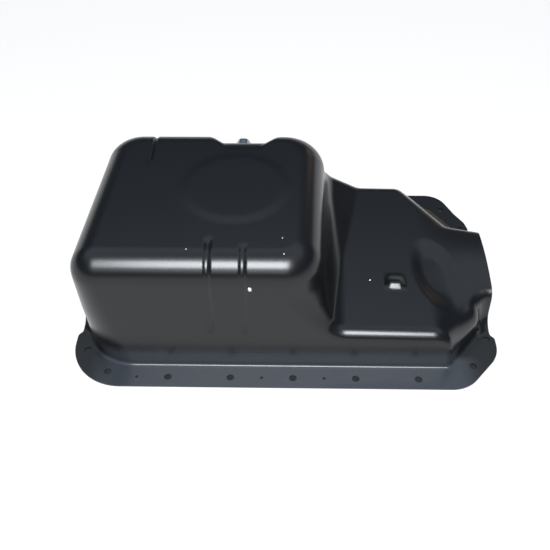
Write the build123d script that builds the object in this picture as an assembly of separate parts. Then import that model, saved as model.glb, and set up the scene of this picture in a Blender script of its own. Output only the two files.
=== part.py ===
from build123d import *
import math
import os

# Engine oil pan: a deep-drawn steel sheet pan, seen the way it rests on a bench, gasket face down.
# Units are millimetres. Origin: the middle of the gasket face. X runs along the engine and Y across it.
# Z is up, from the gasket face to the bottom of the sump. The sump is at -X, the shallow part at +X,
# and the drain plug is on the +Y side.

# ---- driving dimensions ----
sheet = 1.5  # thickness of the drawn steel sheet
length = 405.0  # flange length along X
width = 278.0  # flange width along Y
sump_depth = 126.5  # gasket face to the outside of the sump bottom
shallow_depth = 44.0  # gasket face to the outside of the shallow bottom

# ---- flange ----
half_length = length / 2
half_width = width / 2
edge_to_hole = 10.4  # outer edge to the line of the bolt holes
hole_row_y = half_width - edge_to_hole
bolt_hole = 7.0  # bolt hole diameter
hole_pitch = 58.0
first_hole_x = -108.6
row_holes = 5
pilot_hole = 3.0  # small gasket locating hole
pilot_holes_x = [-137.6, -21.6, 36.4]
ear_y = 79.0  # the end edge steps inward beside the seal housing arch
ear_end_y = 74.0
ear_step = 4.0
ear_radius = 3.0
corner_to_ear = 10.0  # straight edge kept between a sump corner and that step
sump_corner_radius = min(50.0, half_width - ear_y - corner_to_ear)
shallow_cut_x = half_length - 34.7  # the cut corner on the front side: where it leaves the long side
shallow_cut_y = half_width - 39.7  # and where it meets the end
shallow_corner_radius = min(32.0, 1.6 * (shallow_cut_y - ear_y))
rear_cut = [  # the cut corner on the drain side
    (half_length - 3.5, ear_y + 12.0),
    (half_length - 13.0, ear_y + 26.5),
    (half_length - 28.2, half_width),
]
rear_cut_radii = [14.0, 20.0, 25.0]
sump_corner_holes = [(-half_length + 36.7, half_width - 15.8), (-half_length + 13.0, ear_y + 18.7)]
shallow_corner_holes = [(half_length - 26.5, half_width - 26.2), (half_length - 8.8, ear_y + 1.1)]

# ---- walls of the pan, where they meet the gasket face plane ----
wall_to_edge = 25.0  # flange left outside the long walls
wall_y = half_width - wall_to_edge
sump_end_x = -half_length + 11.0
sump_end_skew = 12.5  # the end wall of the sump starts this much further in on the drain side
shallow_end_x = half_length - 15.5
front_draft = 2.0  # degrees

# ---- sump ----
sump_right_x = 44.0
sump_right_skew = 8.0
sump_end_draft = 1.5
sump_right_draft = 6.9
rear_draft = 10.8
# radius of each upright corner at the gasket face and at the sump bottom, from the front left one on
sump_corner_rounds = [(46.0, 26.0), (34.0, 34.0), (43.0, 43.0), (46.0, 32.0)]
sump_edge_radius = 24.0  # rounding of the sump bottom edge

# ---- shallow part ----
shallow_end_draft = 6.0
chamfer_draft = 4.0
chamfer_start_x = shallow_end_x - 33.0
chamfer_end_y = wall_y - 42.0
chamfer_corner = 6.0
shallow_corner = 18.0
shallow_edge_radius = 11.0
scoop_far = (shallow_end_x - 53.0, wall_y - 34.5)  # lines along which the rear corner starts to slope
scoop_middle = (shallow_end_x - 24.0, wall_y - 77.0)
scoop_near = (shallow_end_x, wall_y - 83.0)
scoop_run = 42.0  # level distance from those lines down to the gasket face
scoop_radius = 15.0

# ---- hollow bend from the sump wall to the shallow bottom ----
junction_front_radius = 20.0
junction_rear_radius = min(52.0, sump_depth - sump_edge_radius - shallow_depth)
junction_steps = 9
junction_start_x = sump_right_x - 74.0  # inside the sump
junction_sink = 0.4  # the bend's last sections lie this far inside the sump wall
junction_overlap = 3.0  # how far the bend's skirt reaches below the rounded edge of the shallow part

# ---- seal housing arches at both ends ----
arch_edge_x = half_length - ear_step  # outer edge of the arch bands
arch_run = 48.5  # length of the bars that form them, into the pan
arch_crown_radius = 225.0
arch_top_half = 53.0  # half width of the crown
arch_side_half = 57.0
arch_shoulder_radius = 8.0
arch_foot_radius = 12.0
arch_foot_share = 1.15  # the tunnel's foot runs out just below the gasket face
arch_tunnel_end = 20.0  # how far the tunnel is carried past the end

# ---- pressed details ----
bead_x = [-66.5, -36.0]
bead_start = [39.0, 31.0]  # distance of the round end from the long wall
bead_width = 8.0
bead_depth = 1.6
bead_bottom_z = shallow_depth + 3.0
drip_x = -132.0  # narrow groove that runs off the rear edge
drip_start = 78.0
drip_width = 5.0
drip_depth = 2.0
pad_centre = (-47.5, -2.7)
pad_radius = 50.0
pad_height = 1.0
dish_centre = (146.0, -31.0)
dish_length = 96.0
dish_width = 43.0
dish_depth = 4.0
dish_side_run = 1.7  # level run of the dish's side for each millimetre of depth
dish_turn = 8.0
bump_x = (97.0, 115.0)
bump_y = (-54.0, -41.0, -31.0)
bump_height = 5.0

# ---- drain ----
drain_x = -44.5
drain_z = sump_depth - 16.5
drain_seat_y = wall_y - 40.5
drain_flat_half = 20.0  # half width of the flat seat
drain_flat_offset = 1.5  # the seat's middle lies this far past the drain axis
drain_flat_z = drain_z - 14.0
drain_mouth = 28.0  # how far the hollow is carried out behind the seat
drain_side_slope = 1.2
drain_bottom_slope = 0.8
nut_outer = 20.0
drain_flat_top = drain_z + nut_outer / 2  # above this the seat bends over to the sump bottom
drain_bend_run = 21.0
drain_bend_rise = 0.4  # the bend leaves the sump bottom at a slight angle
drain_bore = 15.0
thread_diameter = 14.0
nut_length = 9.0
washer_outer = 18.0
washer_bore = 14.4
washer_thickness = 1.6
plug_flange = 17.0
plug_flange_thickness = 2.0
plug_hex = 14.0
plug_hex_length = 11.0
plug_shank = 14.0
head_blank = 15.8  # round blank that the hexagon is cut from
edge_break = 0.8

# ---- working clearances of the solids that cut or join others ----
beyond = 10.0  # cutters reach this far past what they cut
near = 0.2  # edges are found within this distance of their place
standing = (Align.CENTER, Align.CENTER, Align.MIN)


def rounded_outline(corners, radii, z):
    """Closed outline through the corners, each rounded by its own radius, as a face at height z."""
    outline = Face(Wire.make_polygon([(x, y, z) for x, y in corners], close=True))
    for (x, y), radius in zip(corners, radii):
        if radius <= 0:
            continue
        corner = min(outline.vertices(), key=lambda v: (v.X - x) ** 2 + (v.Y - y) ** 2)
        outline = outline.fillet_2d(radius, [corner])
    return outline


def moved_in(corners, distances):
    """The polygon with each side, from one corner to the next, moved inward by its own distance."""
    count = len(corners)
    lines = []
    for i in range(count):
        start = Vector(*corners[i])
        along = (Vector(*corners[(i + 1) % count]) - start).normalized()
        lines.append((start + Vector(-along.Y, along.X) * distances[i], along))
    result = []
    for i in range(count):
        p, a = lines[i - 1]
        q, b = lines[i]
        gap = q - p
        s = (gap.X * b.Y - gap.Y * b.X) / (a.X * b.Y - a.Y * b.X)
        result.append((p.X + a.X * s, p.Y + a.Y * s))
    return result


def drafted(corners, drafts, height):
    """The outline at the given height, each side leaning inward by its draft."""
    return moved_in(corners, [height * math.tan(math.radians(draft)) for draft in drafts])


def cut_corners(corners, rounds):
    """Each corner is replaced by a short side that touches an arc of the given radius."""
    share = 1 - math.tan(math.radians(45) / 2)
    result = []
    for i, radius in enumerate(rounds):
        corner = Vector(*corners[i])
        for other in (corners[i - 1], corners[(i + 1) % len(corners)]):
            point = corner + (Vector(*other) - corner).normalized() * radius * share
            result.append((point.X, point.Y))
    return result


def between_walls(foot, head, height, inset):
    """Solid between flat walls through the foot and head outlines, all moved inward by the inset."""
    body = Box(2 * length, 2 * width, height - inset, align=standing).solid()
    for i, corner in enumerate(foot):
        start = Vector(*corner, 0)
        along = Vector(*foot[(i + 1) % len(foot)], 0) - start
        outward = along.cross(Vector(*head[i], height) - start).normalized()
        body = body.split(Plane(origin=start - outward * inset, z_dir=outward), keep=Keep.BOTTOM)
    return body.solid()


def edges_at(solid, z, beyond_x=-length):
    return [e for e in solid.edges() if abs(e.center().Z - z) < near and e.center().X > beyond_x]


def upright_edges(solid):
    return [e for e in solid.edges() if abs(e.tangent_at(0.5).Z) > math.sin(math.radians(45))]


sump_foot = [
    (sump_end_x, -wall_y),
    (sump_right_x, -wall_y),
    (sump_right_x + sump_right_skew, wall_y),
    (sump_end_x + sump_end_skew, wall_y),
]
sump_drafts = [front_draft, sump_right_draft, rear_draft, sump_end_draft]


def sump_body(inset):
    top = sump_depth - inset
    foot = cut_corners(sump_foot, [low for low, high in sump_corner_rounds])
    top_corners = drafted(sump_foot, sump_drafts, sump_depth)
    head = cut_corners(top_corners, [high for low, high in sump_corner_rounds])
    walls = between_walls(foot, head, sump_depth, inset)
    return walls.fillet(sump_edge_radius - inset, upright_edges(walls) + edges_at(walls, top))


def scoop(inset):
    """What is taken off the rear corner of the shallow part: a wedge between two sloping planes."""
    reach = length
    cutter = Box(2 * reach, 2 * reach, 2 * reach).solid()
    down = shallow_depth / scoop_run
    for start, end in ((scoop_far, scoop_middle), (scoop_middle, scoop_near)):
        origin = Vector(*start, shallow_depth)
        along = (Vector(*end, shallow_depth) - origin).normalized()
        outward = Vector(-along.Y * down, along.X * down, 1).normalized()
        cutter = cutter.split(Plane(origin=origin - outward * inset, z_dir=outward), keep=Keep.TOP).solid()
    apex = cutter.edges().sort_by_distance(Vector(*scoop_middle, shallow_depth))[0]
    return cutter.fillet(scoop_radius + inset, [apex])


def shallow_body(inset):
    top = shallow_depth - inset
    foot = [
        (0, -wall_y),
        (chamfer_start_x, -wall_y),
        (shallow_end_x, -chamfer_end_y),
        (shallow_end_x, wall_y),
        (0, wall_y),
    ]
    drafts = [front_draft, chamfer_draft, shallow_end_draft, rear_draft, 0]
    body = between_walls(foot, drafted(foot, drafts, shallow_depth), shallow_depth, inset)
    for x, radius in ((chamfer_start_x, chamfer_corner), (shallow_end_x, shallow_corner)):
        corner = min(upright_edges(body), key=lambda e: abs(e.center().X - x) + (e.center().Y > 0) * length)
        body = body.fillet(radius - inset, [corner])
    body = (body - scoop(inset)).solid()
    return body.fillet(shallow_edge_radius - inset, edges_at(body, top, beyond))


def bend_reach(radius, height):
    """How far a bend of the given radius stands off the sump wall at a height above the shallow bottom."""
    if height >= radius:
        return -junction_sink
    return radius - math.sqrt(radius**2 - (radius - height) ** 2)


def junction_section(z, inset, height):
    """Outline of the hollow bend at height z: it widens to the right and stays within the long walls."""
    corners = moved_in(drafted(sump_foot, sump_drafts, z), [inset] * 4)
    along = (Vector(*corners[2]) - Vector(*corners[1])).normalized()
    centres = []
    for i, side, bend in ((1, 1, junction_front_radius), (2, -1, junction_rear_radius)):
        corner = Vector(*corners[i])
        radius = sump_corner_rounds[i][0] - inset
        wide = radius + bend_reach(bend + inset, height)
        centre_y = corner.Y + side * radius
        centre_x = corner.X + (centre_y - corner.Y) * along.X / along.Y - radius / along.Y
        reach = math.sqrt(max(wide**2 - radius**2, 0))
        on_wall = Vector(centre_x + reach, centre_y - side * min(wide, radius))
        centres.append((Vector(centre_x, centre_y), wide, on_wall))
    (centre_a, wide_a, wall_a), (centre_b, wide_b, wall_b) = centres
    apart = centre_b - centre_a
    turn = math.asin((wide_a - wide_b) / apart.length)
    outward = Vector(apart.Y, -apart.X).normalized() * math.cos(turn) + apart.normalized() * math.sin(turn)
    arcs = []
    for centre, wide, on_wall in centres:
        right = centre + outward * wide
        middle = centre + ((on_wall - centre).normalized() + outward).normalized() * wide
        arcs.append([Vector(p.X, p.Y, z) for p in (on_wall, middle, right)])
    (start_a, middle_a, right_a), (start_b, middle_b, right_b) = arcs
    edges = [
        Edge.make_line((junction_start_x, wall_a.Y, z), start_a),
        Edge.make_three_point_arc(start_a, middle_a, right_a),
        Edge.make_line(right_a, right_b),
        Edge.make_three_point_arc(right_b, middle_b, start_b),
        Edge.make_line(start_b, (junction_start_x, wall_b.Y, z)),
        Edge.make_line((junction_start_x, wall_b.Y, z), (junction_start_x, wall_a.Y, z)),
    ]
    return Wire(edges)


def junction_body(inset):
    """The hollow bend between the sump wall and the shallow bottom, as a stack of widening sections."""
    floor = shallow_depth - inset
    skirt = shallow_depth - shallow_edge_radius - junction_overlap
    rise = junction_rear_radius + inset
    sections = [junction_section(skirt, inset, 0)]
    for i in range(junction_steps + 1):
        height = rise * (i / junction_steps) ** 2
        sections.append(junction_section(floor + height, inset, height))
    return Solid.make_loft(sections, True)


def arch_bar(inset, start_x, end_x):
    """Bar with the cross-section of a seal housing arch, its foot flush with the flange."""
    crown = shallow_depth - inset
    side = arch_side_half - inset
    top = arch_top_half - inset
    radius = arch_crown_radius - inset
    shoulder = crown - (radius - math.sqrt(radius**2 - top**2))
    flange_top = sheet - inset * arch_foot_share
    bottom = flange_top - sheet
    with BuildSketch(Plane.YZ.offset(start_x)) as section:
        with BuildLine():
            crown_arc = ThreePointArc((top, shoulder), (0, crown), (-top, shoulder))
            Polyline(
                crown_arc @ 1,
                (-side, flange_top),
                (-ear_end_y, flange_top),
                (-ear_end_y, bottom),
                (ear_end_y, bottom),
                (ear_end_y, flange_top),
                (side, flange_top),
                crown_arc @ 0,
            )
        make_face()
        shoulders = [v for v in section.vertices() if abs(abs(v.X) - top) < near]
        fillet(shoulders, arch_shoulder_radius - inset)
        feet = [v for v in section.vertices() if abs(abs(v.X) - side) < near and v.Y > bottom + near]
        fillet(feet, arch_foot_radius + inset)
    return extrude(section.sketch, end_x - start_x, dir=(1, 0, 0))


def slot_cutter(x, end_y, start_y, bottom_z, slot_width, grow):
    """Upright slot-shaped prism between two Y positions, rounded at the first of them."""
    half = slot_width / 2 + grow
    reach = start_y - end_y
    round_end = Pos(x, end_y, 0) * Cylinder(half, sump_depth, align=standing)
    straight = Pos(x, end_y + reach / 2, 0) * Box(2 * half, abs(reach), sump_depth, align=standing)
    above = Pos(0, 0, bottom_z - grow) * Box(2 * length, 2 * width, sump_depth, align=standing)
    return (round_end + straight) & above


def dish_cutter(inset):
    """Shallow oval hollow in the bottom of the shallow part."""
    top = shallow_depth - inset
    wires = []
    for z in (top + sheet, top - dish_depth):
        shrink = (top - z) * dish_side_run
        place = Plane(origin=(*dish_centre, z), x_dir=Vector(1, 0, 0).rotate(Axis.Z, dish_turn))
        half_x = dish_width / 2 - shrink + inset
        half_y = dish_length / 2 - shrink + inset
        wires.append((place * Ellipse(half_x, half_y)).face().outer_wire())
    return Solid.make_loft(wires, True)


def bump(inset):
    """Small wedge pressed up from the bottom of the shallow part."""
    low = shallow_depth - 2 * sheet
    top = shallow_depth - inset
    front, crest, rear = bump_y
    profile = Plane.YZ.offset(bump_x[0] + inset) * Polygon(
        (front, low), (rear, low), (rear, top), (crest, top + bump_height), (front, top), align=None
    )
    return extrude(profile, bump_x[1] - bump_x[0] - 2 * inset, dir=(1, 0, 0))


def pad(inset):
    """Round raised field on the sump bottom, with a soft step round it."""
    base = sump_depth - inset - pad_height
    wide = pad_radius - inset
    disc = Cone(wide, wide - 2 * pad_height, 2 * pad_height, align=standing)
    return Pos(*pad_centre, base) * disc


def drain_cutter(inset):
    """Hollow in the rear wall of the sump: a flat upright seat, a bend above it and sloping sides."""
    seat = drain_seat_y - inset
    mouth = seat + drain_mouth
    low = drain_flat_z - inset * (math.hypot(1, drain_bottom_slope) - drain_bottom_slope)
    crest = sump_depth - inset + drain_bend_rise
    run = drain_bend_run - inset
    half = drain_flat_half + inset * (math.hypot(1, drain_side_slope) - drain_side_slope)
    middle = drain_x + drain_flat_offset
    rise = crest - drain_flat_top
    with BuildSketch(Plane.YZ) as profile:
        with BuildLine():
            bend = EllipticalCenterArc((seat - run, drain_flat_top), run, rise, 0, arc_size=90)
            Polyline(
                bend @ 1,
                (seat - run, crest + beyond),
                (mouth, crest + beyond),
                (mouth, low - drain_mouth * drain_bottom_slope),
                (seat, low),
                bend @ 0,
            )
        make_face()
    left = Pos(middle - half, 0, 0) * profile.sketch.face()
    right = Pos(middle + half, 0, 0) * profile.sketch.face()
    side_run = drain_mouth * drain_side_slope
    cutter = Solid.extrude(left, Vector(2 * half, 0, 0))
    return cutter.fuse(
        Solid.extrude(left, Vector(-side_run, drain_mouth, 0)),
        Solid.extrude(right, Vector(side_run, drain_mouth, 0)),
    )


def pan_body(inset):
    """Solid with the form of the pan, moved inward by the inset."""
    body = sump_body(inset).fuse(shallow_body(inset), junction_body(inset))
    body = body + pad(inset)
    for x, start in zip(bead_x, bead_start):
        cutter = slot_cutter(x, start - wall_y, -half_width, bead_bottom_z, bead_width, inset)
        body = body - (cutter - sump_body(inset + bead_depth))
    cutter = slot_cutter(drip_x, wall_y - drip_start, half_width, bead_bottom_z, drip_width, inset)
    body = body - (cutter - sump_body(inset + drip_depth))
    body = body - dish_cutter(inset) + bump(inset)
    body = body - drain_cutter(inset)
    end = arch_edge_x + (arch_tunnel_end if inset else 0)
    start = arch_edge_x - arch_run
    body = body + (arch_bar(inset, start, end) - scoop(inset))
    return body + arch_bar(inset, -end, -start)


def flange_plate():
    sump_side = [(-half_length, half_width), (-half_length, ear_y), (-half_length + ear_step, ear_end_y)]
    front_cut = [(shallow_cut_x, -half_width), (half_length, -shallow_cut_y)]
    ears = [(half_length, -ear_y), (half_length - ear_step, -ear_end_y)]
    ears += [(half_length - ear_step, ear_end_y), (half_length, ear_y)]
    corners = [(x, -y) for x, y in sump_side[:1]] + front_cut + ears + rear_cut + sump_side
    corners += [(x, -y) for x, y in sump_side[:0:-1]]
    radii = [sump_corner_radius] + [shallow_corner_radius] * 2 + [ear_radius] * 4 + rear_cut_radii
    radii += [sump_corner_radius] + [ear_radius] * 4
    return extrude(rounded_outline(corners, radii, 0), sheet)


def bolt_holes():
    """Centres of the bolt holes, the same on both long sides."""
    row = [(first_hole_x + i * hole_pitch, hole_row_y) for i in range(row_holes)]
    one_side = row + sump_corner_holes + shallow_corner_holes
    return [(x, side * y) for side in (-1, 1) for x, y in one_side]


def drilled(body, centres, diameter):
    for x, y in centres:
        body = body - Pos(x, y, sheet / 2) * Cylinder(diameter / 2, 4 * sheet)
    return body


def at_drain(y):
    """Frame on the drain axis at the given Y, looking away from the sump."""
    return Plane(origin=(drain_x, y, drain_z), x_dir=(1, 0, 0), z_dir=(0, 1, 0))


def cylinder_from(y, diameter, run):
    return at_drain(y) * Cylinder(diameter / 2, run, align=standing)


def pan_shell():
    shell = pan_body(0.0) + flange_plate() - pan_body(sheet)
    shell = drilled(shell, bolt_holes(), bolt_hole)
    shell = drilled(shell, [(x, -hole_row_y) for x in pilot_holes_x], pilot_hole)
    return shell - cylinder_from(drain_seat_y - 2 * sheet, drain_bore, 4 * sheet)


def drain_nut():
    """Weld nut on the inside of the drain seat."""
    inner_face = drain_seat_y - sheet
    body = cylinder_from(inner_face - nut_length, nut_outer, nut_length)
    body = chamfer(body.edges().group_by(Axis.Y)[0], edge_break)
    return body - cylinder_from(inner_face - 2 * nut_length, thread_diameter, 3 * nut_length)


def sealing_washer():
    ring = cylinder_from(drain_seat_y, washer_outer, washer_thickness)
    return ring - cylinder_from(drain_seat_y - washer_thickness, washer_bore, 3 * washer_thickness)


def drain_plug():
    """Plug with a hexagon head over a round flange and a plain shank in place of the thread."""
    seat = drain_seat_y + washer_thickness
    flange = cylinder_from(seat, plug_flange, plug_flange_thickness)
    hexagon = RegularPolygon(plug_hex / 2, 6, major_radius=False, rotation=30)
    head = extrude(at_drain(seat + plug_flange_thickness) * hexagon, plug_hex_length, dir=(0, 1, 0))
    rounding = cylinder_from(seat + plug_flange_thickness, head_blank, plug_hex_length)
    rounding = chamfer(rounding.edges().group_by(Axis.Y)[-1], edge_break)
    shank = cylinder_from(seat - plug_shank, thread_diameter, plug_shank)
    shank = chamfer(shank.edges().group_by(Axis.Y)[0], edge_break)
    return flange + (head & rounding) + shank


os.makedirs("parts", exist_ok=True)
nodes = {
    "pan_shell": pan_shell(),
    "drain_nut": drain_nut(),
    "sealing_washer": sealing_washer(),
    "drain_plug": drain_plug(),
}
for name, shape in nodes.items():
    export_step(shape, f"parts/{name}.step")
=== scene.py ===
import math

import bpy
import numpy as np
from mathutils import Matrix, Vector


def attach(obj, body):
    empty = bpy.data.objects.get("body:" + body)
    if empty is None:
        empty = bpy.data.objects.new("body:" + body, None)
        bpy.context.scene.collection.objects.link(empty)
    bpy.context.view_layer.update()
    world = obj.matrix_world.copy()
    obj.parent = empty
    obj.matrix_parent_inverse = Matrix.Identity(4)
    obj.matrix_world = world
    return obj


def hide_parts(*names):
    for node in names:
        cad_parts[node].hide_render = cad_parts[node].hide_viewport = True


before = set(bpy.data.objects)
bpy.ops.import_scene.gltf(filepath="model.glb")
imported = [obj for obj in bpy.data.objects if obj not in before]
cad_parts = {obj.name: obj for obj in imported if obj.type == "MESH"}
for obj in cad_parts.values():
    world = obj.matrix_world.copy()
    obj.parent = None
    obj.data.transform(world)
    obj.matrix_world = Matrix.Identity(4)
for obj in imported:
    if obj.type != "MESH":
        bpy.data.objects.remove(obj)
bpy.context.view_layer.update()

# The looks of a deep-drawn engine oil pan. Form values are in millimetres in the frame's own axes:
# gasket face at z = 0, sump at -X, drain plug on the +Y side. Meshes are written in metres.

MM = 0.001

# ---- form of the pan ----
SHEET = 1.5
HALF_LENGTH = 202.5
HALF_WIDTH = 139.0
SUMP_DEPTH = 126.5
SHALLOW_DEPTH = 44.0
SHALLOW_FALL = 0.02  # the shallow bottom drops this much for each millimetre to the right
SHALLOW_MIDDLE_X = 110.0
WALL_Y = 114.0
FRONT_SLOPE = math.tan(math.radians(2.0))
REAR_SLOPE = math.tan(math.radians(11.4))
LEFT_X = -191.5
LEFT_LEAN = 12.5 / 228  # both end walls of the sump run slightly askew
LEFT_SLOPE = math.tan(math.radians(1.5))
RIGHT_X = 44.0
RIGHT_LEAN = 8.0 / 228
RIGHT_SLOPE = math.tan(math.radians(6.9))
END_X = 187.0
END_SLOPE = math.tan(math.radians(6.0))
CHAMFER_SLOPE = math.tan(math.radians(4.0))
SUMP_EDGE = 24.0
SHALLOW_EDGE = 11.0
INNER_CORNERS = (34.0, 39.0)  # radius of the sump's right corners, front and rear
INNER_CORNERS_Y = (-30, 50)  # the front value ends and the rear value starts at these places
CORNER_START = ((40.0, 92.0), (64.0, 88.0))  # heights over which those corners grow, front and rear
CORNER_START_Y = (-80, 80)
JUNCTION = 20.0  # hollow bend beside the sump, at the front
JUNCTION_Y = (-40, 60)  # the front bend ends and the rear bend starts at these places
GUSSET_FOOT = ((44.0, -90.0), (79.0, 98.0))  # where the sloping side of the bend meets the shallow bottom
GUSSET_SLOPE = 0.62
GUSSET_BENDS = (12.0, 19.0)  # at its foot, and against the sump wall
CORNER_HEIGHTS = (0, 60, 100, 126)
FRONT_CORNER = (48.0, 32.5, 24.5, 24.0)  # radius of the left corners at those heights
REAR_CORNER = (46.0, 41.0, 37.0, 35.0)
CHAMFER = ((154.0, -114.0), (187.0, -72.0))  # foot of the slanting wall across the front right corner
CHAMFER_START = 6.0
CHAMFER_CORNER = 18.0
FOOT_BEND = 2.5
SCOOP_LINE = ((134.0, 79.5), (163.0, 37.0), (187.0, 31.0))  # where the rear corner starts to slope
SCOOP_RUN = 42.0  # level run of that slope down to the flange
SCOOP_CORNER = 16.0
SCOOP_EDGE = 9.0

# Cosine between the outward normals of two faces that meet in a round.
FRONT_LEFT_COS = -0.053
REAR_LEFT_COS = 0.059
FRONT_CHAMFER_COS = 0.618
CHAMFER_END_COS = 0.787
SCOOP_SIDES_COS = 0.88
SCOOP_BODY_COS = 0.65
GUSSET_FOOT_COS = 0.85
JUNCTION_COS = (0.12, 0.62)  # front and rear
TOP_EDGE_COS = (0.03, 0.2)  # before and behind TOP_EDGE_Y
TOP_EDGE_Y = (55, 80)

# ---- seal housing arches ----
ARCH_EDGE_X = 198.5
ARCH_CROWN = 225.0  # radius of the arches' tops
ARCH_TOP_HALF = 53.0
ARCH_SIDE_HALF = 57.0
ARCH_SIDE_HEIGHT = 38.0  # over this height the side leans in from ARCH_SIDE_HALF to ARCH_TOP_HALF
ARCH_SHOULDER = 8.0
ARCH_SHOULDER_X = (180, 192)  # the shallow edge turns into the arch's shoulder between these
ARCH_FOOT = 12.0
ARCH_FOOT_X = (184, 190)  # the bend at the foot grows to ARCH_FOOT between these, at both ends
ARCH_FOOT_Y = (80, 68)
ARCH_START_X = 171.0
ARCH_BLEND = 10.0
ARCH_LEVEL_X = (135.0, 184.0)  # the shallow bottom bends down to the right arch between these
ARCH_CORNER = 13.0

# ---- pressed details ----
ON_SUMP_Z = (100.5, 110.5)  # details of the sump bottom fade in between these heights
ON_SHALLOW_Z = (28.0, 36.0)
OFF_SHALLOW_Z = (60, 75)
BEADS = ((-66.5, -75.0), (-36.0, -83.0))  # x, and y where the groove starts on the sump bottom
BEAD_HALF = 4.6
BEAD_FLAT = 0.15  # share of the half width that stays at full depth
BEAD_DEPTH = 1.35
BEAD_START = (5, 3)  # run-in before and behind its start
BEAD_BOTTOM_Z = 47.0
BEAD_END = 3
DRIP_X = -132.0
DRIP_START_Y = 36.0
DRIP_START = (3, 4)
DRIP_HALF = 3.0
DRIP_FLAT = 0.1
DRIP_DEPTH = 2.0
DRIP_END_Z = (60, 80)
PAD_CENTRE = (-47.5, -2.7)
PAD_EDGE = (41.0, 55.0)  # radius where its shoulder starts and ends
PAD_STEP = 0.5
DISH_CENTRE = (146.0, -31.0)
DISH_HALF = (21.5, 48.0)
DISH_TURN = math.radians(8.0)
DISH_DEPTH = 3.4
DISH_EDGE = (0.45, 1.08)  # shares of the half size where its side ends and starts
BUMP_X = (97.5, 112.5)
BUMP_RISE_Y = (-56.5, -47.5)
BUMP_FALL_Y = (-50.5, -32.0)
BUMP_HEIGHT = 4.8
BUMP_SIDE = 4.0
SEAT_Y = 73.5
SEAT_LEFT_X = -67.0
SEAT_RIGHT_X = -18.5
SEAT_BOTTOM_Z = 96.0
SEAT_SIDE_SLOPE = 0.6
SEAT_BOTTOM_SLOPE = 0.8
SEAT_CORNER = 5.0
SEAT_BOTTOM_CORNER = 6.0
SEAT_EDGE = 5.0
SEAT_BEND = (7.0, 21.0)  # height and level run of the bend from the seat to the sump bottom
SEAT_BEND_Z = (114.0, 122.5)  # the small edge turns into that bend between these heights
SEAT_SIDE_BEND = 6.0
DRAIN_X = -44.5
DRAIN_Z = 110.0
DRAIN_BORE = 15.0
DRAIN_REACH = 8  # the bore cuts the sheet this far before and behind the seat

# ---- flange ----
FLANGE_CORNER = 50.0
CUT_CORNER = 32.0
CUT_X = 167.8
CUT_Y = 99.3
# Corners of the rim at the rear right, from the arch's end to the long side.
REAR_CUT = ((202.5, 79.0), (199.6, 91.0), (190.6, 106.0), (175.8, 139.0))
REAR_CUT_CORNERS = (14.0, 20.0, 25.0)
CUT_LONG_COS = 0.658
CUT_END_COS = 0.753
REAR_CUT_COS = (0.957, 0.988, 0.413)
END_STEP_Y = (73.5, 79.5)  # the rim goes out from the arch's end to the flange's end between these
HOLE_ROW_Y = 128.6
HOLE_RADIUS = 3.5
PILOT_RADIUS = 1.5
HOLE_START_X = -108.6
HOLE_PITCH = 58.0
HOLE_COUNT = 5
HOLE_ROW_X = [HOLE_START_X + HOLE_PITCH * i for i in range(HOLE_COUNT)]
CORNER_HOLES = [(-165.8, 123.2), (-189.5, 97.7), (176.0, 112.8), (193.7, 80.1)]
PILOT_X = (-137.6, -21.6, 36.4)
FLANGE_TOP = 12  # holes cut the sheet below this height alone

# ---- surface ----
CELL = 2.5  # spacing of the grid that the surface is found on
LEVEL = -SHEET / 2  # the sheet's middle surface lies here in the field of its outer surface
SNAP = 0.25 * CELL  # points nearer to a cut than this are moved onto it
HOLE_SNAP = 0.2
HOLE_BAND = 1.5  # triangles this near to a hole's edge are split
HOLE_TRIANGLE = 1.1  # until their edges are under this length
SETTLE_ROUNDS = 4
SPLIT_ROUNDS = 4
EDGE_ROUNDS = 3
LEAST_SLOPE = 0.05
TINY = 1e-6
FAR = 1000  # added to a distance to take a place out of a cut


# ---- smooth blends ----
def hard_round(a, b, radius, lean=0.0):
    """Largest of two distances, their outer corner rounded. lean is the cosine between the faces' normals."""
    u = radius + a
    v = radius + b
    between = (u > lean * v) & (v > lean * u)
    arc = np.sqrt(np.maximum(u * u + v * v - 2 * lean * u * v, 0) / (1 - lean * lean)) - radius
    return np.where(between, arc, np.maximum(a, b))


def long_round(a, b, depth, run):
    """Like hard_round, with an elliptical corner that takes up its own depth under each of the two faces."""
    u = np.maximum(1 + a / depth, 0)
    v = np.maximum(1 + b / run, 0)
    size = np.hypot(u, v)
    arc = (size - 1) * size / np.maximum(np.hypot(u / depth, v / run), TINY)
    return np.where((u > 0) & (v > 0), arc, np.maximum(a, b))


def soft_join(a, b, radius, lean=0.0):
    """Smallest of two distances, with the inner corner between them rounded."""
    return -hard_round(-a, -b, radius, lean)


def ramp(low, high, value):
    """Smooth step from 0 at low to 1 at high."""
    t = np.clip((value - low) / (high - low), 0, 1)
    return t * t * (3 - 2 * t)


def plane(x, y, z, point, normal):
    """Signed distance from the plane with this outward normal through the point at z = 0."""
    size = math.sqrt(sum(n * n for n in normal))
    px, py = point
    return ((x - px) * normal[0] + (y - py) * normal[1] + z * normal[2]) / size


def through(a, b, slope):
    """Outward normal of a wall whose foot runs from a to b, leaning inward by the slope."""
    dx, dy = b[0] - a[0], b[1] - a[1]
    size = math.hypot(dx, dy)
    return (dy / size, -dx / size, slope)


# ---- the pan as one distance field ----
def scoop(x, y, z):
    """Positive in the wedge taken off the rear corner of the shallow part."""
    sides = []
    for a, b in zip(SCOOP_LINE, SCOOP_LINE[1:]):
        normal = through(b, a, SCOOP_RUN / SHALLOW_DEPTH)
        foot = (a[0] + normal[0] * SCOOP_RUN, a[1] + normal[1] * SCOOP_RUN)
        sides.append(plane(x, y, z, foot, normal))
    return soft_join(sides[0], sides[1], SCOOP_CORNER, SCOOP_SIDES_COS)


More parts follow.
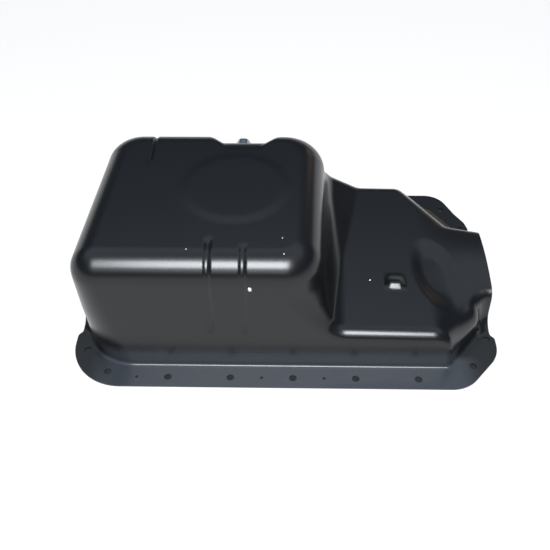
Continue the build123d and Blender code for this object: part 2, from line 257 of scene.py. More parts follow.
def pan_walls(x, y, z):
    """All outer side walls, without the sump's right side."""
    front = plane(x, y, z, (0, -WALL_Y), (0, -1, FRONT_SLOPE))
    rear = plane(x, y, z, (0, WALL_Y), (0, 1, REAR_SLOPE))
    left = plane(x, y, z, (LEFT_X, -WALL_Y), (-1, LEFT_LEAN, LEFT_SLOPE))
    end = plane(x, y, z, (END_X, 0), (1, 0, END_SLOPE))
    chamfer = plane(x, y, z, CHAMFER[0], through(*CHAMFER, CHAMFER_SLOPE))
    front_left = hard_round(front, left, np.interp(z, CORNER_HEIGHTS, FRONT_CORNER), FRONT_LEFT_COS)
    rear_left = hard_round(rear, left, np.interp(z, CORNER_HEIGHTS, REAR_CORNER), REAR_LEFT_COS)
    front_right = hard_round(front, chamfer, CHAMFER_START, FRONT_CHAMFER_COS)
    front_right = hard_round(front_right, end, CHAMFER_CORNER, CHAMFER_END_COS)
    rear_right = hard_round(rear, end, CHAMFER_CORNER)
    return np.maximum(np.maximum(front_left, rear_left), np.maximum(front_right, rear_right))


def arch_crown(y, z):
    """Top of both arches: a cylinder along x, level with the shallow bottom in the middle."""
    return np.hypot(y, z - SHALLOW_DEPTH + ARCH_CROWN) - ARCH_CROWN


def arch_side(y, z):
    """Both sides of an arch."""
    lean = (ARCH_SIDE_HALF - ARCH_TOP_HALF) / ARCH_SIDE_HEIGHT
    return (np.abs(y) - ARCH_SIDE_HALF + (z - SHEET) * lean) / math.hypot(1, lean)


def left_arch(x, y, z):
    """The arch that runs out of the sump's left wall."""
    bar = hard_round(arch_crown(y, z), arch_side(y, z), ARCH_SHOULDER)
    return np.maximum(bar, ARCH_START_X + x)


def pan_body(x, y, z):
    """Sump, shallow part and the arch at its end, without the flange and the sump's arch."""
    top = z - SUMP_DEPTH
    right = plane(x, y, z, (RIGHT_X, -WALL_Y), (1, -RIGHT_LEAN, RIGHT_SLOPE))
    floor = z - SHALLOW_DEPTH + SHALLOW_FALL * (x - SHALLOW_MIDDLE_X)
    floor = floor + (arch_crown(y, z) - floor) * ramp(*ARCH_LEVEL_X, x)
    (x0, y0), (x1, y1) = GUSSET_FOOT
    across = (x - x0 - (y - y0) * (x1 - x0) / (y1 - y0)) * GUSSET_SLOPE
    gusset = (across + z - SHALLOW_DEPTH) / math.hypot(1, GUSSET_SLOPE)
    low = soft_join(gusset, floor, GUSSET_BENDS[0], GUSSET_FOOT_COS)
    bend = np.interp(y, JUNCTION_Y, (JUNCTION, GUSSET_BENDS[1]))
    side = soft_join(right, low, bend, np.interp(y, JUNCTION_Y, JUNCTION_COS))
    corner = np.interp(y, INNER_CORNERS_Y, INNER_CORNERS)
    start, grown = [np.interp(y, CORNER_START_Y, pair) for pair in zip(*CORNER_START)]
    edge = SHALLOW_EDGE + (corner - SHALLOW_EDGE) * ramp(start, grown, z)
    edge = edge + (ARCH_SHOULDER - SHALLOW_EDGE) * ramp(*ARCH_SHOULDER_X, x)
    walls = pan_walls(x, y, z)
    walls = np.where(x > ARCH_LEVEL_X[0], soft_join(walls, arch_side(y, z), ARCH_CORNER), walls)
    side = hard_round(side, walls, edge)
    return hard_round(top, side, SUMP_EDGE, np.interp(y, TOP_EDGE_Y, TOP_EDGE_COS))


def with_drain_hollow(body, x, y, z):
    """The body with the hollow for the drain seat taken out, bending over to the sump bottom above it."""
    behind = y - SEAT_Y
    up = ramp(*SEAT_BEND_Z, z)
    depth = SEAT_EDGE + (SEAT_BEND[0] - SEAT_EDGE) * up
    run = SEAT_EDGE + (SEAT_BEND[1] - SEAT_EDGE) * up
    side_scale = 1 + (SEAT_BEND[1] / SEAT_SIDE_BEND - 1) * up
    size = math.hypot(1, SEAT_SIDE_SLOPE)
    left = (SEAT_LEFT_X - behind * SEAT_SIDE_SLOPE - x) / size * side_scale
    right = (x - SEAT_RIGHT_X - behind * SEAT_SIDE_SLOPE) / size * side_scale
    bottom = (SEAT_BOTTOM_Z - behind * SEAT_BOTTOM_SLOPE - z) / math.hypot(1, SEAT_BOTTOM_SLOPE)
    hollow = hard_round(hard_round(-behind, left, SEAT_CORNER), right, SEAT_CORNER)
    return long_round(body, -hard_round(hollow, bottom, SEAT_BOTTOM_CORNER), depth, run)


def groove(away, half, flat):
    """Depth share across a groove, from 1 over its flat middle to 0 at its half width."""
    return 1 - ramp(half * flat, half, np.abs(away))


def pressed_details(x, y, z):
    """How far the pressed details move the surface inward."""
    on_sump = ramp(*ON_SUMP_Z, z)
    on_shallow = ramp(*ON_SHALLOW_Z, z) * (1 - ramp(*OFF_SHALLOW_Z, z))
    away = np.hypot(x - PAD_CENTRE[0], y - PAD_CENTRE[1])
    inward = -PAD_STEP * (1 - ramp(*PAD_EDGE, away)) * on_sump
    for bead_x, start_y in BEADS:
        begun = 1 - ramp(start_y - BEAD_START[0], start_y + BEAD_START[1], y)
        above = ramp(BEAD_BOTTOM_Z - BEAD_END, BEAD_BOTTOM_Z + BEAD_END, z)
        inward = inward + BEAD_DEPTH * groove(x - bead_x, BEAD_HALF, BEAD_FLAT) * begun * above
    begun = ramp(DRIP_START_Y - DRIP_START[0], DRIP_START_Y + DRIP_START[1], y) * ramp(*DRIP_END_Z, z)
    inward = inward + DRIP_DEPTH * groove(x - DRIP_X, DRIP_HALF, DRIP_FLAT) * begun
    u = (x - DISH_CENTRE[0]) * math.cos(DISH_TURN) + (y - DISH_CENTRE[1]) * math.sin(DISH_TURN)
    v = (y - DISH_CENTRE[1]) * math.cos(DISH_TURN) - (x - DISH_CENTRE[0]) * math.sin(DISH_TURN)
    inside = np.hypot(u / DISH_HALF[0], v / DISH_HALF[1])
    inward = inward + DISH_DEPTH * (1 - ramp(*DISH_EDGE, inside)) * on_shallow
    left, right = BUMP_X
    across = ramp(left - BUMP_SIDE, left + BUMP_SIDE, x) * (1 - ramp(right - BUMP_SIDE, right + BUMP_SIDE, x))
    along = np.minimum(ramp(*BUMP_RISE_Y, y), 1 - ramp(*BUMP_FALL_Y, y))
    return inward - BUMP_HEIGHT * along * across * on_shallow


def pan_field(p):
    """Distance from the outer surface of the sheet, negative inside the pan."""
    x, y, z = p
    body = pan_body(x, y, z) + pressed_details(x, y, z)
    body = hard_round(body, scoop(x, y, z), SCOOP_EDGE, SCOOP_BODY_COS)
    body = with_drain_hollow(body, x, y, z)
    body = soft_join(body, left_arch(x, y, z), ARCH_BLEND)
    near_arch = ramp(-ARCH_FOOT_Y[0], -ARCH_FOOT_Y[1], -np.abs(y)) * ramp(*ARCH_FOOT_X, np.abs(x))
    foot = FOOT_BEND + (ARCH_FOOT - FOOT_BEND) * near_arch
    return soft_join(body, z - SHEET, foot)


def flange_outline(p):
    """Distance from the rim of the flange in plan, negative inside it."""
    x, y, _ = p
    depth = np.abs(y)
    long_side = depth - HALF_WIDTH
    limit = ARCH_EDGE_X + (HALF_LENGTH - ARCH_EDGE_X) * ramp(*END_STEP_Y, depth)
    sump_corner = hard_round(long_side, -x - limit, FLANGE_CORNER)
    normal = through((CUT_X, -HALF_WIDTH), (HALF_LENGTH, -CUT_Y), 0)
    cut = (x - CUT_X) * normal[0] + (depth - HALF_WIDTH) * -normal[1]
    front_corner = hard_round(long_side, cut, CUT_CORNER, CUT_LONG_COS)
    front_corner = hard_round(front_corner, x - limit, CUT_CORNER, CUT_END_COS)
    cuts = []
    for a, b in zip(REAR_CUT, REAR_CUT[1:]):
        normal = through(a, b, 0)
        cuts.append((x - a[0]) * normal[0] + (y - a[1]) * normal[1])
    first, middle, last = cuts
    rear_corner = soft_join(middle, last, REAR_CUT_CORNERS[1], REAR_CUT_COS[1])
    rear_corner = hard_round(rear_corner, first, REAR_CUT_CORNERS[0], REAR_CUT_COS[0])
    rear_corner = hard_round(rear_corner, long_side, REAR_CUT_CORNERS[2], REAR_CUT_COS[2])
    rear_corner = np.maximum(rear_corner, x - limit)
    return np.maximum(sump_corner, np.where(y < 0, front_corner, rear_corner))


# ---- surface from the field ----
def gradient(field, p, step=0.02):
    """Slope of the field along each axis."""
    rows = []
    for axis in range(3):
        shift = np.zeros((3, 1))
        shift[axis] = step
        rows.append((field(p + shift) - field(p - shift)) / (2 * step))
    return np.array(rows)


def settled(field, p, level, rounds):
    """Points moved along the field's gradient until the field there equals the level."""
    for _ in range(rounds):
        slope = gradient(field, p)
        p = p - slope * ((field(p) - level) / np.maximum((slope * slope).sum(0), LEAST_SLOPE))
    return p


def surface_net(field, level, low, high, cell):
    """Quads of the level surface: one point in each grid cell that it passes through."""
    axes = [np.arange(a, b + cell, cell) for a, b in zip(low, high)]
    grid = np.array(np.meshgrid(*axes, indexing="ij"))
    shape = grid.shape[1:]
    value = field(grid.reshape(3, -1)).reshape(shape) - level
    inside = value < 0
    cells = tuple(n - 1 for n in shape)
    total = np.zeros((3, *cells))
    count = np.zeros(cells)
    crossings = []
    for axis in range(3):
        one = [slice(None)] * 3
        two = [slice(None)] * 3
        one[axis] = slice(0, -1)
        two[axis] = slice(1, None)
        a, b = value[tuple(one)], value[tuple(two)]
        cross = inside[tuple(one)] != inside[tuple(two)]
        share = np.where(cross, a / np.where(cross, a - b, 1), 0)
        point = grid[(slice(None), *one)].copy()
        point[axis] += share * cell
        crossings.append((cross, inside[tuple(one)]))
        u, v = [k for k in range(3) if k != axis]
        for du in (0, 1):
            for dv in (0, 1):
                pick = [slice(None)] * 3
                pick[u] = slice(du, du + cells[u])
                pick[v] = slice(dv, dv + cells[v])
                hit = cross[tuple(pick)]
                total += np.where(hit, point[(slice(None), *pick)], 0)
                count += hit
    active = count > 0
    index = np.full(cells, -1)
    index[active] = np.arange(active.sum())
    points = (total[:, active] / count[active])
    quads = []
    for axis, (cross, first_inside) in enumerate(crossings):
        u, v = [(1, 2), (2, 0), (0, 1)][axis]
        i, j, k = np.nonzero(cross)
        at = np.array([i, j, k])
        keep = (at[u] > 0) & (at[v] > 0) & (at[u] < cells[u]) & (at[v] < cells[v])
        at = at[:, keep]
        outward = first_inside[cross][keep]
        ring = []
        for du, dv in ((-1, -1), (0, -1), (0, 0), (-1, 0)):
            cell_at = at.copy()
            cell_at[u] += du
            cell_at[v] += dv
            ring.append(index[tuple(cell_at)])
        ring = np.array(ring).T
        ring[~outward] = ring[~outward][:, ::-1]
        quads.append(ring)
    return points, np.vstack(quads)


def compact(points, faces):
    """Drops points that no face uses."""
    used = np.unique(faces)
    place = np.full(points.shape[1], -1)
    place[used] = np.arange(len(used))
    return points[:, used], place[faces]


def triangles(quads):
    """Each quad as two triangles."""
    return np.vstack([quads[:, [0, 1, 2]], quads[:, [0, 2, 3]]])


def refined(points, faces, near, size):
    """Triangles near the given test are split until their edges are under the size."""
    for _ in range(SPLIT_ROUNDS):
        edges = np.sort(faces[:, [[0, 1], [1, 2], [2, 0]]].reshape(-1, 2), axis=1)
        unique, back = np.unique(edges, axis=0, return_inverse=True)
        middle = (points[:, unique[:, 0]] + points[:, unique[:, 1]]) / 2
        long = np.linalg.norm(points[:, unique[:, 0]] - points[:, unique[:, 1]], axis=0) > size
        split = long & near(middle)
        if not split.any():
            break
        new_index = np.full(len(unique), -1)
        new_index[split] = points.shape[1] + np.arange(split.sum())
        points = np.hstack([points, middle[:, split]])
        mids = new_index[back].reshape(-1, 3)
        result = []
        count = (mids >= 0).sum(1)
        result.append(faces[count == 0])
        f, m = faces[count == 3], mids[count == 3]
        result.append(np.stack([f[:, 0], m[:, 0], m[:, 2]], 1))
        result.append(np.stack([m[:, 0], f[:, 1], m[:, 1]], 1))
        result.append(np.stack([m[:, 2], m[:, 1], f[:, 2]], 1))
        result.append(m)
        for turn in range(3):
            order = [turn, (turn + 1) % 3, (turn + 2) % 3]
            f, m = faces[:, order], mids[:, order]
            one = (count == 1) & (m[:, 0] >= 0)
            result.append(np.stack([f[one, 0], m[one, 0], f[one, 2]], 1))
            result.append(np.stack([m[one, 0], f[one, 1], f[one, 2]], 1))
            two = (count == 2) & (m[:, 2] < 0)
            result.append(np.stack([m[two, 0], f[two, 1], m[two, 1]], 1))
            result.append(np.stack([f[two, 0], m[two, 0], m[two, 1]], 1))
            result.append(np.stack([f[two, 0], m[two, 1], f[two, 2]], 1))
        faces = np.vstack(result)
    return points, faces


def trimmed(points, faces, edge, snap):
    """Keeps the side where edge(points) is negative; the cut runs exactly along its zero line."""
    value = edge(points)
    close = np.abs(value) < snap
    slope = gradient(edge, points[:, close])
    size = np.maximum((slope * slope).sum(0), TINY)
    points = points.copy()
    points[:, close] -= slope * (value[close] / size)
    value[close] = 0
    out = value > 0
    corners = out[faces]
    count = corners.sum(1)
    whole = faces[count == 0]
    cut_edges = []
    rows = []
    for turn in range(3):
        order = [turn, (turn + 1) % 3, (turn + 2) % 3]
        f, c = faces[:, order], corners[:, order]
        one_kept = f[(count == 2) & ~c[:, 0]]
        two_kept = f[(count == 1) & c[:, 2]]
        rows.append((one_kept, two_kept))
        cut_edges += [one_kept[:, [0, 1]], one_kept[:, [0, 2]], two_kept[:, [1, 2]], two_kept[:, [0, 2]]]
    if not sum(len(e) for e in cut_edges):
        return compact(points, whole)
    pairs = np.vstack(cut_edges)
    unique, back = np.unique(np.sort(pairs, axis=1), axis=0, return_inverse=True)
    a, b = unique[:, 0], unique[:, 1]
    share = value[a] / (value[a] - value[b])
    fresh = points[:, a] + (points[:, b] - points[:, a]) * share
    for _ in range(EDGE_ROUNDS):
        slope = gradient(edge, fresh)
        fresh = fresh - slope * (edge(fresh) / np.maximum((slope * slope).sum(0), TINY))
    base = points.shape[1]
    points = np.hstack([points, fresh])
    new = base + back.reshape(-1)
    result = [whole]
    at = 0
    for one_kept, two_kept in rows:
        n, m = len(one_kept), len(two_kept)
        ab, ac = new[at : at + n], new[at + n : at + 2 * n]
        bc, ac2 = new[at + 2 * n : at + 2 * n + m], new[at + 2 * n + m : at + 2 * n + 2 * m]
        at += 2 * n + 2 * m
        result.append(np.stack([one_kept[:, 0], ab, ac], 1))
        result.append(np.stack([two_kept[:, 0], two_kept[:, 1], bc], 1))
        result.append(np.stack([two_kept[:, 0], bc, ac2], 1))
    faces = np.vstack(result)
    solid = (faces[:, 0] != faces[:, 1]) & (faces[:, 1] != faces[:, 2]) & (faces[:, 2] != faces[:, 0])
    return compact(points, faces[solid])


def hole_edge(centre_x, centre_y, radius):
    """Field whose zero line is the edge of a flange hole, on the flange's sheet alone."""
    return lambda p: radius - np.hypot(p[0] - centre_x, p[1] - centre_y) - FAR * (p[2] > FLANGE_TOP)


def drain_edge(p):
    """Field whose zero line is the edge of the drain bore in the seat."""
    away = np.hypot(p[0] - DRAIN_X, p[2] - DRAIN_Z)
    return DRAIN_BORE / 2 - away - FAR * (np.abs(p[1] - SEAT_Y) > DRAIN_REACH)


def flange_holes():
    """Centre and radius of each hole in the flange."""
    holes = []
    for side in (-1, 1):
        row = [(x, side * HOLE_ROW_Y) for x in HOLE_ROW_X]
        corners = [(x, side * y) for x, y in CORNER_HOLES]
        holes += [(x, y, HOLE_RADIUS) for x, y in row + corners]
    return holes + [(x, -HOLE_ROW_Y, PILOT_RADIUS) for x in PILOT_X]


def middle_surface():
    """The sheet's middle surface as triangles, with its rim and holes cut."""
    margin = 3 * CELL
    low = (-HALF_LENGTH - margin, -HALF_WIDTH - margin, -margin / 2)
    high = (HALF_LENGTH + margin, HALF_WIDTH + margin, SUMP_DEPTH + margin)
    points, quads = surface_net(pan_field, LEVEL, low, high, CELL)
    points = settled(pan_field, points, LEVEL, SETTLE_ROUNDS)
    faces = triangles(quads)
    points, faces = trimmed(points, faces, flange_outline, SNAP)
    holes = flange_holes()

    def near_hole(p):
        """Whether each point lies close to a hole's edge."""
        close = np.zeros(p.shape[1], bool)
        for x, y, radius in holes:
            close |= (np.abs(np.hypot(p[0] - x, p[1] - y) - radius) < HOLE_BAND) & (p[2] < FLANGE_TOP)
        at_drain = np.abs(np.hypot(p[0] - DRAIN_X, p[2] - DRAIN_Z) - DRAIN_BORE / 2) < HOLE_BAND
        return close | (at_drain & (np.abs(p[1] - SEAT_Y) < DRAIN_REACH))

    points, faces = refined(points, faces, near_hole, HOLE_TRIANGLE)
    for x, y, radius in holes:
        points, faces = trimmed(points, faces, hole_edge(x, y, radius), HOLE_SNAP)
    return trimmed(points, faces, drain_edge, HOLE_SNAP)


def sheet_mesh(name, points, faces, thickness):
    """Mesh of a sheet: its middle surface moved both ways along the normal, closed along every edge."""
    slope = gradient(pan_field, points)
    normal = slope / np.linalg.norm(slope, axis=0)
    outer = points + normal * thickness / 2
    inner = points - normal * thickness / 2
    count = points.shape[1]
    edges = faces[:, [[0, 1], [1, 2], [2, 0]]].reshape(-1, 2)
    key = np.sort(edges, axis=1)
    _, back, times = np.unique(key, axis=0, return_inverse=True, return_counts=True)
    rim = edges[times[back.reshape(-1)] == 1]
    rim_quads = np.stack([rim[:, 1], rim[:, 0], rim[:, 0] + count, rim[:, 1] + count], 1)
    mesh = bpy.data.meshes.new(name)
    vertices = (np.hstack([outer, inner]).T * MM).tolist()
    polygons = faces.tolist() + (faces[:, ::-1] + count).tolist() + rim_quads.tolist()
    mesh.from_pydata(vertices, [], polygons)
    mesh.update()
    both = np.hstack([normal, -normal]).T
    corner_vertex = np.empty(len(mesh.loops), int)
    mesh.loops.foreach_get("vertex_index", corner_vertex)
    corner_normals = both[corner_vertex]
    sheet_corners = 6 * len(faces)
    flat = np.empty((len(mesh.polygons), 3))
    mesh.polygons.foreach_get("normal", flat.ravel())
    corner_normals[sheet_corners:] = np.repeat(flat[2 * len(faces) :], 4, axis=0)
    mesh.polygons.foreach_set("use_smooth", [True] * len(mesh.polygons))
    mesh.normals_split_custom_set(corner_normals.tolist())
    return mesh


# ---- materials ----
def colour(code):
    """Linear RGBA of an sRGB hex colour."""
    values = [int(code[i : i + 2], 16) / 255 for i in (0, 2, 4)]
    return [v / 12.92 if v <= 0.04045 else ((v + 0.055) / 1.055) ** 2.4 for v in values] + [1.0]


def node(tree, kind, inputs=(), **settings):
    """Adds a node; an input is either a value or another node's output socket."""
    made = tree.nodes.new(kind)
    for key, value in settings.items():
        setattr(made, key, value)
    for key, value in dict(inputs).items():
        if isinstance(value, bpy.types.NodeSocket):
            tree.links.new(value, made.inputs[key])
        else:
            made.inputs[key].default_value = value
    return made


def maths(tree, operation, first, second=0.0):
    """Result of one arithmetic node."""
    return node(tree, "ShaderNodeMath", {0: first, 1: second}, operation=operation).outputs[0]


def mixed(tree, share, first, second):
    """Colour that goes from the first to the second as the share goes from 0 to 1."""
    return node(tree, "ShaderNodeMix", {0: share, 6: first, 7: second}, data_type="RGBA").outputs[2]


def noise(tree, place, size, detail):
    """Soft noise around 0.5 with features of about the given size in millimetres."""
    inputs = {"Vector": place, "Scale": 1 / (size * MM), "Detail": detail}
    return node(tree, "ShaderNodeTexNoise", inputs).outputs["Fac"]


def material(name):
    """New material with its node tree and its main shader."""
    made = bpy.data.materials.new(name)
    made.use_nodes = True
    shader = made.node_tree.nodes["Principled BSDF"]
    return made, made.node_tree, shader


PAINT_COLOUR = "0c0d0f"
PAINT_ROUGHNESS = 0.26
PAINT_SPECULAR = 0.45
RIPPLE_SIZE = 6.0
RIPPLE_HEIGHT = 0.2
RIPPLE_STRENGTH = 0.02
PAINTED_REFLECTION_COLOUR = "292c31"
REFLECTION_Z = (28.0, 13.0)  # painted reflection: a lighter grey on the front foot and flange stands in for lamp light bounced between them; it fades in between these places
REFLECTION_Y = (-98.0, -108.0)
REFLECTION_X = (188.0, 160.0)
FLECK_COLOUR = "d8dcde"
FLECK_GRAIN = 1.2  # size of the notches in a fleck's outline
FLECK_REACH = 1.6  # the noise around 0.5 times this is the share of the radius that is covered
FLECKS = (  # where each fleck of pale dust sits on the pan, and its radius
    ((-30.2, -110.5, 101.4), 1.9),
    ((-30.0, -111.0, 99.8), 1.5),
    ((81.2, -42.9, 44.6), 1.0),
    ((-84.1, -88.1, 126.4), 0.65),
    ((-2.6, -73.6, 126.5), 0.6),
    ((-1.1, -92.5, 125.6), 0.6),
)


def painted_reflection_mask(tree, place):
    """Mask of the painted reflection: 1 on the foot of the front wall and on the flange before it, 0
    elsewhere.
    """
    parts = node(tree, "ShaderNodeSeparateXYZ", {0: place}).outputs
    reflection = 1.0
    for value, (none, full) in (
        (parts["Z"], REFLECTION_Z),
        (parts["Y"], REFLECTION_Y),
        (maths(tree, "ABSOLUTE", parts["X"]), REFLECTION_X),
    ):
        limits = {"Value": value, "From Min": none * MM, "From Max": full * MM}
        part = node(tree, "ShaderNodeMapRange", limits, interpolation_type="SMOOTHSTEP").outputs[0]
        reflection = maths(tree, "MULTIPLY", reflection, part)
    return reflection


def dust_flecks(tree, place):
    """1 on the flecks of dust, 0 elsewhere."""
    ragged = noise(tree, place, FLECK_GRAIN, 1.0)
    flecks = 0.0
    for point, radius in FLECKS:
        centre = [v * MM for v in point]
        gap = node(tree, "ShaderNodeVectorMath", {0: place, 1: centre}, operation="DISTANCE").outputs["Value"]
        reach = maths(tree, "MULTIPLY", ragged, FLECK_REACH * radius * MM)
        flecks = maths(tree, "MAXIMUM", flecks, maths(tree, "LESS_THAN", gap, reach))
    return flecks


def black_paint():
    """Dipped black stove paint over steel: fairly glossy, a faint ripple, a painted reflection on the front
    foot and flange, and a few flecks of dust.
    """
    made, tree, shader = material("black_stove_paint")
    place = node(tree, "ShaderNodeTexCoord").outputs["Object"]
    # painted reflection: the front foot and flange are lightened to stand in for lamp light bounced between
    # them
    tone = mixed(tree, painted_reflection_mask(tree, place), colour(PAINT_COLOUR), colour(PAINTED_REFLECTION_COLOUR))
    tone = mixed(tree, dust_flecks(tree, place), tone, colour(FLECK_COLOUR))
    ripple = noise(tree, place, RIPPLE_SIZE, 2.0)
    relief = {"Height": ripple, "Strength": RIPPLE_STRENGTH, "Distance": RIPPLE_HEIGHT * MM}
    tree.links.new(tone, shader.inputs["Base Color"])
    tree.links.new(node(tree, "ShaderNodeBump", relief).outputs["Normal"], shader.inputs["Normal"])
    shader.inputs["Roughness"].default_value = PAINT_ROUGHNESS
    shader.inputs["Specular IOR Level"].default_value = PAINT_SPECULAR
    shader.inputs["Coat Weight"].default_value = 0.0
    return made


def zinc_steel():
    """Zinc-plated steel with a slightly cloudy, pale blue-grey finish."""
    made, tree, shader = material("zinc_plated_steel")
    place = node(tree, "ShaderNodeTexCoord").outputs["Object"]
    limits = {"Value": noise(tree, place, 3.0, 4.0), "To Min": 0.28, "To Max": 0.42}
    rough = node(tree, "ShaderNodeMapRange", limits).outputs["Result"]
    shader.inputs["Base Color"].default_value = colour("a3a9b0")
    shader.inputs["Metallic"].default_value = 1.0
    tree.links.new(rough, shader.inputs["Roughness"])
    return made


def soft_aluminium():
    """Soft rolled aluminium with a dull, even surface."""
    made, tree, shader = material("soft_aluminium")
    shader.inputs["Base Color"].default_value = colour("c9c9c6")
    shader.inputs["Metallic"].default_value = 1.0
    shader.inputs["Roughness"].default_value = 0.4
    return made


# ---- pieces ----
PLUG_SEAT_Y = 75.1  # against the outer face of the washer
PLUG_HEX = 14.0
PLUG_CORNERS = 96
PLUG_SHARP = math.radians(28)
PLUG_STATIONS = (  # distance along the axis from the seat, radius, and whether the hexagon limits it
    (-14.0, 6.2, False),
    (-13.2, 7.0, False),
    (0.0, 7.0, False),
    (0.0, 8.15, False),
    (0.35, 8.5, False),
    (1.65, 8.5, False),
    (2.0, 8.15, False),
    (2.0, 7.9, True),
    (11.4, 7.9, True),
    (12.4, 7.35, True),
    (12.85, 6.7, True),
    (13.0, 5.9, True),
)


def dress(name, mesh, made, replaced):
    """Object of the mesh that stands in for a node of the frame, with its material."""
    obj = bpy.data.objects.new(name, mesh)
    bpy.context.scene.collection.objects.link(obj)
    mesh.materials.append(made)
    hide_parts(replaced)
    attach(obj, "root")
    return obj


def finish_with(obj, made):
    """The material goes on the frame's own piece through its slots."""
    for index in range(max(1, len(obj.material_slots))):
        if index >= len(obj.material_slots):
            obj.data.materials.append(made)
        obj.material_slots[index].link = "OBJECT"
        obj.material_slots[index].material = made


def build_pan(made):
    """The pan as one drawn sheet."""
    points, faces = middle_surface()
    return dress("pan_sheet", sheet_mesh("pan_sheet", points, faces, SHEET), made, "pan_shell")


def build_plug(made):
    """Plug turned about its axis; the head's stations are cut to a hexagon with flats above and below."""
    points = []
    for along, radius, is_hexagon in PLUG_STATIONS:
        for i in range(PLUG_CORNERS):
            angle = 2 * math.pi * i / PLUG_CORNERS
            to_flat = (angle + math.pi / 6) % (math.pi / 3) - math.pi / 6
            reach = min(radius, PLUG_HEX / 2 / math.cos(to_flat)) if is_hexagon else radius
            x = DRAIN_X + reach * math.sin(angle)
            z = DRAIN_Z + reach * math.cos(angle)
            points.append((x * MM, (PLUG_SEAT_Y + along) * MM, z * MM))
    faces = [tuple(range(PLUG_CORNERS))]
    for row in range(len(PLUG_STATIONS) - 1):
        here = row * PLUG_CORNERS
        above = here + PLUG_CORNERS
        for i in range(PLUG_CORNERS):
            j = (i + 1) % PLUG_CORNERS
            faces.append((here + j, here + i, above + i, above + j))
    last = (len(PLUG_STATIONS) - 1) * PLUG_CORNERS
    faces.append(tuple(last + i for i in reversed(range(PLUG_CORNERS))))
    mesh = bpy.data.meshes.new("drain_plug_turned")
    mesh.from_pydata(points, [], faces)
    mesh.update()
    mesh.polygons.foreach_set("use_smooth", [True] * len(mesh.polygons))
    mesh.set_sharp_from_angle(angle=PLUG_SHARP)
    return dress("drain_plug_turned", mesh, made, "drain_plug")


# ---- stage ----
FLOOR_HALF = 6000.0
FLOOR_DROP = 0.6  # the floor lies this far under the gasket face
FLOOR_GLOW = 0.75
FLOOR_COLOUR = "707070"
SHADE_DROP = 0.3
SHADE_INSET = 3.0
SHADE_CORNERS = 240
SHADE_REACH = 260.0  # past the farthest point of the rim
SHADE_ROUNDS = 24
ROOM = "4a4c50"
SKY = (  # elevation in degrees and colour of the pale screen behind the object
    (0, "24292e"),
    (32, "38424c"),
    (38, "62727e"),
    (42.5, "6e7f8e"),
    (46, "e2ecf6"),
    (65, "e2ecf6"),
    (90, "a4acb4"),
)
SCREEN_START = (-0.4, 0.1)  # the room turns into the screen between these y values of the direction
HORIZON = (3.0, 8.0)  # the white of the floor goes on up to here and fades, in degrees
CAMERA_PLACE = (4.5 * MM, -543.7 * MM, 555.0 * MM)
CAMERA_PITCH = math.radians(45.2)
CAMERA_YAW = math.radians(1.70)
CAMERA_ROLL = math.radians(-0.77)
FOCAL_PIXELS = 740.0
IMAGE_PIXELS = 550.0
SENSOR = 36.0
LAMP_TARGET = (0, 0, 0.05)
LAMPS = (  # azimuth and elevation from the object in degrees, distance, size, radiance and tint
    ("front_softbox", 1, 57, 1.8, (1.12, 0.76), 25.0, "f4faff"),
    ("front_skirt", 0, 54, 1.9, (1.3, 1.9), 2.2, "f4f9ff"),
    ("rear_card", 152, 20, 2.2, (0.5, 0.3), 1.6, "c8a48c"),
)


def add_camera():
    """Camera in front of the pan, looking down at it."""
    data = bpy.data.cameras.new("camera")
    data.sensor_fit = "HORIZONTAL"
    data.sensor_width = SENSOR
    data.lens = SENSOR * FOCAL_PIXELS / IMAGE_PIXELS
    data.clip_start = 0.01
    data.clip_end = 50
    camera = bpy.data.objects.new("camera", data)
    bpy.context.scene.collection.objects.link(camera)
    level = math.cos(CAMERA_PITCH)
    ahead = Vector((-math.sin(CAMERA_YAW) * level, math.cos(CAMERA_YAW) * level, -math.sin(CAMERA_PITCH)))
    right = Vector((math.cos(CAMERA_YAW), math.sin(CAMERA_YAW), 0))
    up = right.cross(ahead)
    turned_right = right * math.cos(CAMERA_ROLL) + up * math.sin(CAMERA_ROLL)
    turned_up = up * math.cos(CAMERA_ROLL) - right * math.sin(CAMERA_ROLL)
    matrix = Matrix((turned_right, turned_up, -ahead)).transposed().to_4x4()
    matrix.translation = CAMERA_PLACE
    camera.matrix_world = matrix
    bpy.context.scene.camera = camera


def add_lamp(name, azimuth, elevation, distance, size, radiance, tint):
    """Rectangular lamp of even radiance that faces the object."""
    level = math.cos(math.radians(elevation)) * distance
    turn = math.radians(azimuth)
    place = (level * math.sin(turn), -level * math.cos(turn), math.sin(math.radians(elevation)) * distance)
    data = bpy.data.lights.new(name, "AREA")
    data.shape = "RECTANGLE"
    data.size, data.size_y = size
    data.energy = radiance * math.pi * size[0] * size[1]
    data.color = colour(tint)[:3]
    lamp = bpy.data.objects.new(name, data)
    lamp.location = place
    lamp.rotation_euler = (Vector(LAMP_TARGET) - Vector(place)).to_track_quat("-Z", "Y").to_euler()
    bpy.context.scene.collection.objects.link(lamp)


def add_sheet(name, corners, drop, made):
    """Flat sheet of the stage, a little under the gasket face."""
    mesh = bpy.data.meshes.new(name)
    mesh.from_pydata([(x * MM, y * MM, 0) for x, y in corners], [], [tuple(range(len(corners)))])
    mesh.materials.append(made)
    sheet = bpy.data.objects.new(name, mesh)
    bpy.context.scene.collection.objects.link(sheet)
    sheet.location.z = -drop * MM


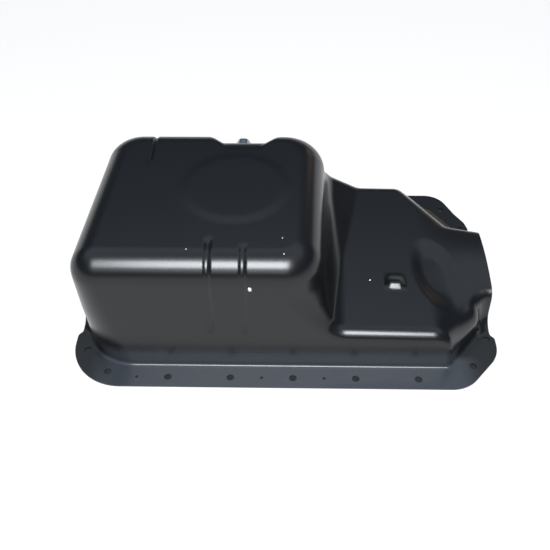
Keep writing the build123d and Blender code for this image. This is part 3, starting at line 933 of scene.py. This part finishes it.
def pale_floor():
    """Partly glowing white, partly lit, so that the floor stays pale and keeps a soft shadow."""
    made = bpy.data.materials.new("pale_floor")
    made.use_nodes = True
    tree = made.node_tree
    path = node(tree, "ShaderNodeLightPath").outputs
    seen = maths(tree, "MAXIMUM", path["Is Camera Ray"], path["Is Glossy Ray"])
    seen = maths(tree, "MAXIMUM", seen, path["Is Transmission Ray"])
    glow = {"Color": (1, 1, 1, 1), "Strength": maths(tree, "MULTIPLY", seen, FLOOR_GLOW)}
    white = node(tree, "ShaderNodeEmission", glow).outputs[0]
    lit = node(tree, "ShaderNodeBsdfDiffuse", {"Color": colour(FLOOR_COLOUR)}).outputs[0]
    both = node(tree, "ShaderNodeAddShader", {0: white, 1: lit}).outputs[0]
    tree.links.new(both, tree.nodes["Material Output"].inputs["Surface"])
    return made


def painted_shade_card():
    """Dull black card, a painted shade: it lies under the pan where the floor is in the pan's shadow."""
    made, tree, shader = material("painted_shade_card")
    shader.inputs["Base Color"].default_value = colour("040404")
    shader.inputs["Roughness"].default_value = 0.9
    return made


def inside_rim():
    """Corners of a sheet a little inside the flange's rim, found by halving the way out."""
    corners = []
    for step in range(SHADE_CORNERS):
        angle = 2 * math.pi * step / SHADE_CORNERS
        near, far = 0.0, SHADE_REACH
        for _ in range(SHADE_ROUNDS):
            reach = (near + far) / 2
            at = np.array([[reach * math.cos(angle)], [reach * math.sin(angle)], [0.0]])
            if flange_outline(at)[0] < -SHADE_INSET:
                near = reach
            else:
                far = reach
        corners.append((near * math.cos(angle), near * math.sin(angle)))
    return corners


def add_stage():
    """Plain pale floor, and a dark card on it under the pan as painted shade, so that no glow shows through
    the holes.
    """
    half = FLOOR_HALF
    add_sheet("floor", [(-half, -half), (half, -half), (half, half), (-half, half)], FLOOR_DROP, pale_floor())
    # painted shade: a black card under the pan stands in for the shadow inside it
    add_sheet("shade", inside_rim(), SHADE_DROP, painted_shade_card())


def add_world():
    """Dim room with a paler screen behind the object, and white like the floor's near the horizon."""
    world = bpy.data.worlds.new("studio")
    world.use_nodes = True
    tree = world.node_tree
    place = node(tree, "ShaderNodeTexCoord").outputs["Generated"]
    parts = node(tree, "ShaderNodeSeparateXYZ", {0: place}).outputs
    screen = node(tree, "ShaderNodeValToRGB", {0: parts["Z"]})
    stops = screen.color_ramp.elements
    while len(stops) < len(SKY):
        stops.new(0.5)
    for stop, (elevation, code) in zip(stops, SKY):
        stop.position = math.sin(math.radians(elevation))
        stop.color = colour(code)
    behind = {"Value": parts["Y"], "From Min": SCREEN_START[0], "From Max": SCREEN_START[1]}
    behind = node(tree, "ShaderNodeMapRange", behind).outputs[0]
    studio = mixed(tree, behind, colour(ROOM), screen.outputs[0])
    low, high = [math.sin(math.radians(elevation)) for elevation in HORIZON]
    limits = {"Value": parts["Z"], "From Min": high, "From Max": low}
    horizon = node(tree, "ShaderNodeMapRange", limits).outputs[0]
    path = node(tree, "ShaderNodeLightPath").outputs
    pale = maths(tree, "MAXIMUM", horizon, path["Is Camera Ray"])
    background = tree.nodes["Background"]
    tree.links.new(mixed(tree, pale, studio, (1, 1, 1, 1)), background.inputs["Color"])
    background.inputs["Strength"].default_value = 1.0
    bpy.context.scene.world = world


paint = black_paint()
build_pan(paint)
finish_with(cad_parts["drain_nut"], paint)
finish_with(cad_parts["sealing_washer"], soft_aluminium())
build_plug(zinc_steel())
add_camera()
add_stage()
add_world()
for lamp_values in LAMPS:
    add_lamp(*lamp_values)
bpy.context.scene.view_settings.view_transform = "Standard"
